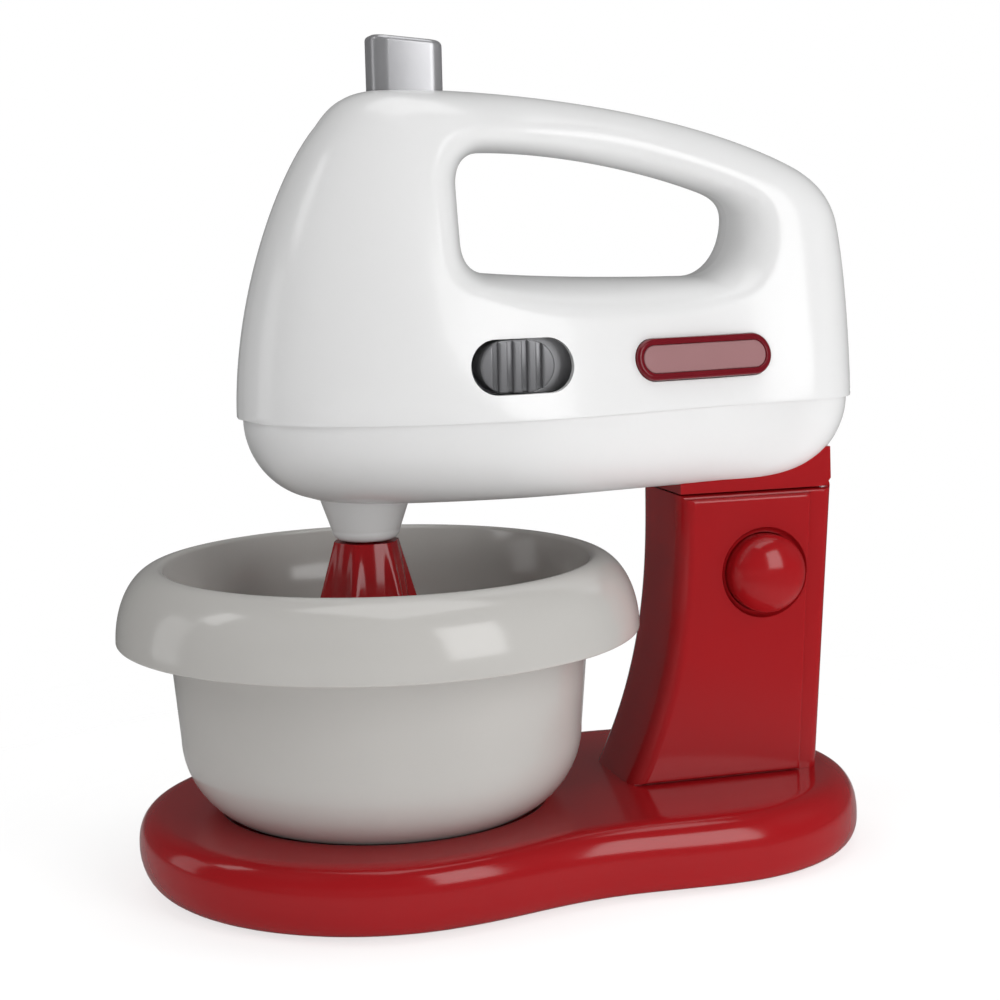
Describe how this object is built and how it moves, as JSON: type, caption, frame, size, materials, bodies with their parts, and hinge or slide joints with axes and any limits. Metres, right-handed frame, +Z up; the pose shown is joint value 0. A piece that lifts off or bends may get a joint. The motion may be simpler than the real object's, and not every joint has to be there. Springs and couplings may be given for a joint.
{
  "type": "toy stand mixer",
  "caption": "Toy stand mixer: a battery hand mixer with a looped handle on a tilting stand, its ejectable beater over a loose flanged bowl in a dished base.",
  "frame": {"origin": "on the table under the middle of the whole object's box", "axes": "+Z up, +X from the bowl towards the column, +Y away from the side with the slider and the release button"},
  "size_m": [0.2194, 0.1498, 0.2381],
  "materials": {
    "red_plastic": "glossy deep red moulding",
    "white_plastic": "glossy white moulding",
    "bowl_plastic": "satin warm light grey moulding",
    "silver_plastic": "silver metallic lacquer on plastic",
    "lens_plastic": "translucent dark red moulding",
    "lamp_plastic": "clear red epoxy",
    "nylon": "natural unpolished moulding",
    "dark_plastic": "black moulding",
    "rubber": "matt black",
    "steel": "plated steel",
    "brass": "turned brass",
    "cell_jacket": "plain printed jacket",
    "board": "green solder mask"
  },
  "bodies": {
    "stand": {"base_shell": "red_plastic", "base_plate": "red_plastic", "base_feet": "rubber", "base_screws": "steel", "stand_screws": "steel", "column_left_shell": "red_plastic", "column_right_shell": "red_plastic", "column_screws": "steel", "hinge_pin": "steel", "release_spring": "steel"},
    "bowl": {"bowl": "bowl_plastic"},
    "release": {"release_button": "red_plastic"},
    "head": {"tilt_cradle": "red_plastic", "cradle_screws": "steel", "head_left_shell": "white_plastic", "head_right_shell": "white_plastic", "head_lower_cover": "white_plastic", "gear_plate": "nylon", "plate_screws": "steel", "idler_axle": "steel", "motor": "steel", "eject_spring": "steel", "circuit_board": "board", "indicator_led": "lamp_plastic", "indicator_lens": "lens_plastic", "battery_tray": "dark_plastic", "battery_cells": "cell_jacket", "battery_contacts": "steel", "battery_door": "white_plastic", "door_screw": "steel"},
    "eject": {"eject_button": "silver_plastic", "eject_rod": "nylon"},
    "slider": {"speed_slider": "silver_plastic"},
    "spindle": {"output_gear": "nylon"},
    "beater": {"beater": "red_plastic"},
    "idler": {"idler_gear": "nylon"},
    "pinion": {"motor_pinion": "brass"}
  },
  "joints": [
    {"name": "head_tilt", "type": "hinge", "parent": "stand", "child": "head", "pos_m": [0.0977, 0, 0.106], "axis": [0, 1, 0], "range_deg": [0, 50]},
    {"name": "bowl_turn", "type": "hinge", "parent": "stand", "child": "bowl", "pos_m": [-0.0348, 0, 0.03], "axis": [0, 0, 1], "continuous": true},
    {"name": "release_press", "type": "slide", "parent": "stand", "child": "release", "axis": [0, 1, 0], "range_m": [0, 0.003], "stiffness_N_per_m": 700, "springref_m": -0.001, "deforming": ["release_spring"]},
    {"name": "eject_press", "type": "slide", "parent": "head", "child": "eject", "axis": [0, 0, -1], "range_m": [0, 0.006], "stiffness_N_per_m": 400, "springref_m": -0.003, "deforming": ["eject_spring"]},
    {"name": "speed_slide", "type": "slide", "parent": "head", "child": "slider", "axis": [1, 0, 0], "range_m": [-0.0024, 0.0056]},
    {"name": "beater_spin", "type": "hinge", "parent": "head", "child": "spindle", "pos_m": [-0.0378, 0, 0.11], "axis": [0, 0, 1], "continuous": true},
    {"name": "beater_eject", "type": "slide", "parent": "spindle", "child": "beater", "axis": [0, 0, -1], "range_m": [0, 0.006]},
    {"name": "idler_spin", "type": "hinge", "parent": "head", "child": "idler", "pos_m": [-0.0168, 0, 0.125], "axis": [0, 0, 1], "continuous": true},
    {"name": "motor_spin", "type": "hinge", "parent": "head", "child": "pinion", "pos_m": [0.0032, 0, 0.131], "axis": [0, 0, 1], "continuous": true}
  ],
  "couplings": [
    {"joint": "beater_eject", "follows": "eject_press", "ratio": 1},
    {"joint": "idler_spin", "follows": "beater_spin", "ratio": -2.5},
    {"joint": "motor_spin", "follows": "beater_spin", "ratio": 7.5}
  ]
}
